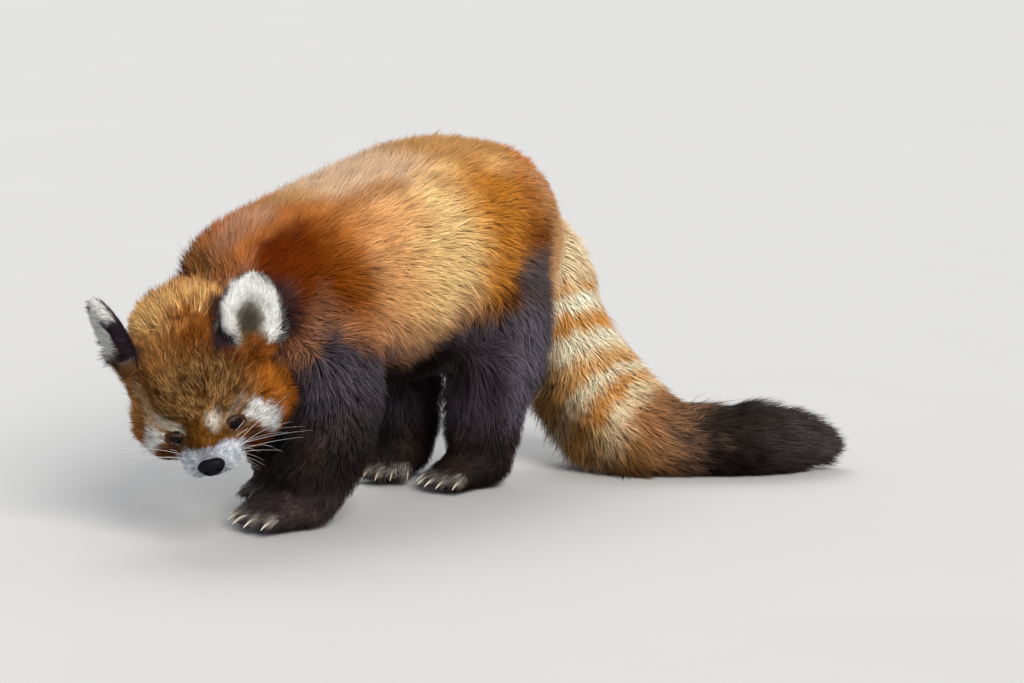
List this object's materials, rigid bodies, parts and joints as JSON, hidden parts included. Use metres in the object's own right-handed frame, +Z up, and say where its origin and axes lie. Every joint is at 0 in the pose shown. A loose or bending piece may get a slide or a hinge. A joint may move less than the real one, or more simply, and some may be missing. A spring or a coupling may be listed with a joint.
{
  "type": "red panda, standing, still model",
  "caption": "Life-size still model of a red panda standing on four paws, head lowered and turned, bushy ringed tail laid on the floor.",
  "frame": {"origin": "on the floor, below the middle of the model's footprint", "axes": "+Z up; the body faces -Y, its left side is +X, and the tail lies towards +Y"},
  "size_m": [0.3614, 0.7192, 0.3151],
  "materials": {
    "body_fur": "long soft rufous coat, sandy on the loins and deep rust on shoulders and rump, lying backward",
    "head_fur": "golden crown, grizzled brow, white muzzle, brow spots and cheeks, dark red-brown stripe below each eye",
    "leg_fur": "blackish brown coat of the legs and belly with sparse grey tips",
    "ear_fur": "dense white rim, dark hollow, blackish back",
    "tail_fur": "long bushy coat in rings of cream and ochre",
    "tail_tip_fur": "long blackish brown coat",
    "claw": "smooth pale horn",
    "eye": "wet dark brown",
    "nose_pad": "moist finely pebbled black skin"
  },
  "bodies": {
    "root": {"ear_left": "ear_fur", "ear_right": "ear_fur", "eye_left": "eye", "eye_right": "eye", "fore_left_claw_1": "claw", "fore_left_claw_2": "claw", "fore_left_claw_3": "claw", "fore_left_claw_4": "claw", "fore_left_claw_5": "claw", "fore_left_lower_leg": "leg_fur", "fore_left_paw": "leg_fur", "fore_left_upper_leg": "leg_fur", "fore_right_claw_1": "claw", "fore_right_claw_2": "claw", "fore_right_claw_3": "claw", "fore_right_claw_4": "claw", "fore_right_claw_5": "claw", "fore_right_lower_leg": "leg_fur", "fore_right_paw": "leg_fur", "fore_right_upper_leg": "leg_fur", "head": "head_fur", "hind_left_claw_1": "claw", "hind_left_claw_2": "claw", "hind_left_claw_3": "claw", "hind_left_claw_4": "claw", "hind_left_claw_5": "claw", "hind_left_lower_leg": "leg_fur", "hind_left_paw": "leg_fur", "hind_left_upper_leg": "leg_fur", "hind_right_claw_1": "claw", "hind_right_claw_2": "claw", "hind_right_claw_3": "claw", "hind_right_claw_4": "claw", "hind_right_claw_5": "claw", "hind_right_lower_leg": "leg_fur", "hind_right_paw": "leg_fur", "hind_right_upper_leg": "leg_fur", "neck": "body_fur", "nose": "nose_pad", "tail_base": "tail_fur", "tail_middle": "tail_fur", "tail_tip": "tail_tip_fur", "torso": "body_fur"}
  },
  "joints": []
}
